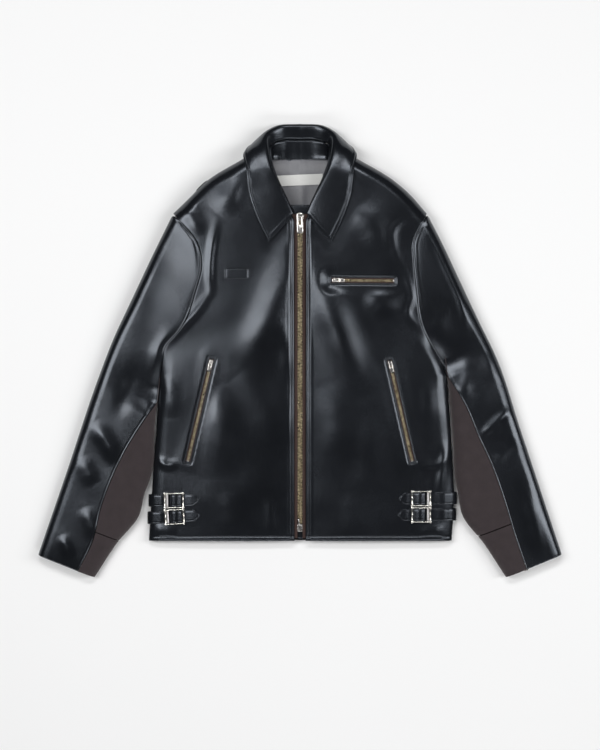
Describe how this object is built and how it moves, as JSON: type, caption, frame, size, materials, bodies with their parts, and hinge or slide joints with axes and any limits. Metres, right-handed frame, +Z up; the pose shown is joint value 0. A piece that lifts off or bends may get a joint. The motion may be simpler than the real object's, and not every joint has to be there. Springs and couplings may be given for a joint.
{
  "type": "zip-front jacket",
  "caption": "Hip-length black leather-look jacket with fabric sleeve panels, zips that slide, pointed collar and buckled side straps, lying flat on its back.",
  "frame": {"origin": "centre of the bounding box on the floor the jacket lies on", "axes": "+X across the body towards the wearer's left, +Y up the body to the collar, +Z up out of the front"},
  "size_m": [0.946, 0.8149, 0.0541],
  "materials": {
    "leather": "black coated leather look, fine grain, semi-gloss",
    "strap_leather": "black coated strap with stitched edges",
    "sleeve_fabric": "taupe-grey brushed stretch fabric, matt",
    "satin_lining": "dark grey satin, soft sheen",
    "woven_label": "plain white woven label, blank",
    "zip_tape": "dark brown herringbone zip tape",
    "zip_teeth": "antique brass teeth",
    "zip_metal": "bright silver-coloured cast metal",
    "buckle_metal": "polished silver-coloured cast metal"
  },
  "bodies": {
    "garment": {"back_panel": "leather", "back_lining": "satin_lining", "neck_label": "woven_label", "front_panel_left": "leather", "front_panel_right": "leather", "front_lining_left": "satin_lining", "front_lining_right": "satin_lining", "hand_pocket_bag_left": "satin_lining", "hand_pocket_bag_right": "satin_lining", "chest_pocket_bag": "satin_lining", "pen_pocket_welt": "leather", "sleeve_left": "leather", "sleeve_right": "leather", "sleeve_gusset_left": "sleeve_fabric", "sleeve_gusset_right": "sleeve_fabric", "cuff_panel_left": "sleeve_fabric", "cuff_panel_right": "sleeve_fabric", "collar_fall": "leather", "collar_stand": "leather", "main_zip_tape_left": "zip_tape", "main_zip_tape_right": "zip_tape", "main_zip_teeth_left": "zip_teeth", "main_zip_teeth_right": "zip_teeth", "main_zip_retainer_box": "zip_metal", "main_zip_insertion_pin": "zip_metal", "chest_zip_tape": "zip_tape", "chest_zip_teeth": "zip_teeth", "chest_zip_welt": "leather", "hand_zip_left_tape": "zip_tape", "hand_zip_left_teeth": "zip_teeth", "hand_zip_left_welt": "leather", "hand_zip_right_tape": "zip_tape", "hand_zip_right_teeth": "zip_teeth", "hand_zip_right_welt": "leather", "cuff_zip_left_chain": "zip_tape", "cuff_zip_right_chain": "zip_tape", "strap_left_upper": "strap_leather", "strap_left_lower": "strap_leather", "strap_right_upper": "strap_leather", "strap_right_lower": "strap_leather", "buckle_left_upper": "buckle_metal", "buckle_left_lower": "buckle_metal", "buckle_right_upper": "buckle_metal", "buckle_right_lower": "buckle_metal"},
    "main_zip_slider_body": {"main_zip_slider": "zip_metal"},
    "main_zip_pull_body": {"main_zip_pull": "zip_metal"},
    "chest_zip_slider_body": {"chest_zip_slider": "zip_metal"},
    "chest_zip_pull_body": {"chest_zip_pull": "zip_metal"},
    "hand_zip_left_slider_body": {"hand_zip_left_slider": "zip_metal"},
    "hand_zip_left_pull_body": {"hand_zip_left_pull": "zip_metal"},
    "hand_zip_right_slider_body": {"hand_zip_right_slider": "zip_metal"},
    "hand_zip_right_pull_body": {"hand_zip_right_pull": "zip_metal"},
    "cuff_zip_left_slider_body": {"cuff_zip_left_slider": "zip_metal"},
    "cuff_zip_left_pull_body": {"cuff_zip_left_pull": "zip_metal"},
    "cuff_zip_right_slider_body": {"cuff_zip_right_slider": "zip_metal"},
    "cuff_zip_right_pull_body": {"cuff_zip_right_pull": "zip_metal"},
    "buckle_roller_left_upper_body": {"buckle_roller_left_upper": "buckle_metal"},
    "buckle_roller_left_lower_body": {"buckle_roller_left_lower": "buckle_metal"},
    "buckle_roller_right_upper_body": {"buckle_roller_right_upper": "buckle_metal"},
    "buckle_roller_right_lower_body": {"buckle_roller_right_lower": "buckle_metal"}
  },
  "joints": [
    {"name": "main_zip_slide", "type": "slide", "parent": "garment", "child": "main_zip_slider_body", "axis": [0, -0.9996, -0.0288], "range_m": [0, 0.53]},
    {"name": "main_zip_pull_hinge", "type": "hinge", "parent": "main_zip_slider_body", "child": "main_zip_pull_body", "pos_m": [0, 0.24198, 0.0387], "axis": [-1, 0, 0], "range_deg": [0, 150]},
    {"name": "chest_zip_slide", "type": "slide", "parent": "garment", "child": "chest_zip_slider_body", "axis": [0.9999, -0.0091, 0.0089], "range_m": [0, 0.096]},
    {"name": "chest_zip_pull_hinge", "type": "hinge", "parent": "chest_zip_slider_body", "child": "chest_zip_pull_body", "pos_m": [0.06248, 0.12796, 0.03889], "axis": [-0.0091, -1, 0], "range_deg": [0, 150]},
    {"name": "hand_zip_left_slide", "type": "slide", "parent": "garment", "child": "hand_zip_left_slider_body", "axis": [0.222, -0.9745, -0.0342], "range_m": [0, 0.17]},
    {"name": "hand_zip_left_pull_hinge", "type": "hinge", "parent": "hand_zip_left_slider_body", "child": "hand_zip_left_pull_body", "pos_m": [0.16201, -0.02144, 0.03567], "axis": [-0.975, -0.2221, 0], "range_deg": [0, 150]},
    {"name": "hand_zip_right_slide", "type": "slide", "parent": "garment", "child": "hand_zip_right_slider_body", "axis": [-0.2298, -0.9726, -0.0343], "range_m": [0, 0.172]},
    {"name": "hand_zip_right_pull_hinge", "type": "hinge", "parent": "hand_zip_right_slider_body", "child": "hand_zip_right_pull_body", "pos_m": [-0.16005, -0.01944, 0.03576], "axis": [-0.9732, 0.2299, 0], "range_deg": [0, 150]},
    {"name": "cuff_zip_left_slide", "type": "slide", "parent": "garment", "child": "cuff_zip_left_slider_body", "axis": [-0.3881, 0.9216, 0], "range_m": [0, 0.088]},
    {"name": "cuff_zip_left_pull_hinge", "type": "hinge", "parent": "cuff_zip_left_slider_body", "child": "cuff_zip_left_pull_body", "pos_m": [0.40425, -0.38085, 0.00175], "axis": [0.9216, 0.3881, 0], "range_deg": [0, 150]},
    {"name": "cuff_zip_right_slide", "type": "slide", "parent": "garment", "child": "cuff_zip_right_slider_body", "axis": [0.3846, 0.9231, 0], "range_m": [0, 0.09]},
    {"name": "cuff_zip_right_pull_hinge", "type": "hinge", "parent": "cuff_zip_right_slider_body", "child": "cuff_zip_right_pull_body", "pos_m": [-0.39527, -0.38285, 0.00175], "axis": [0.9231, -0.3846, 0], "range_deg": [0, 150]},
    {"name": "buckle_roller_left_upper_spin", "type": "hinge", "parent": "garment", "child": "buckle_roller_left_upper_body", "pos_m": [0.23, -0.2645, 0.03117], "axis": [0, 1, 0], "continuous": true},
    {"name": "buckle_roller_left_lower_spin", "type": "hinge", "parent": "garment", "child": "buckle_roller_left_lower_body", "pos_m": [0.23, -0.294, 0.03033], "axis": [0, 1, 0], "continuous": true},
    {"name": "buckle_roller_right_upper_spin", "type": "hinge", "parent": "garment", "child": "buckle_roller_right_upper_body", "pos_m": [-0.239, -0.26824, 0.03068], "axis": [0.02, -0.9998, 0], "continuous": true},
    {"name": "buckle_roller_right_lower_spin", "type": "hinge", "parent": "garment", "child": "buckle_roller_right_lower_body", "pos_m": [-0.23798, -0.29822, 0.02988], "axis": [0.06, -0.9982, 0], "continuous": true}
  ]
}
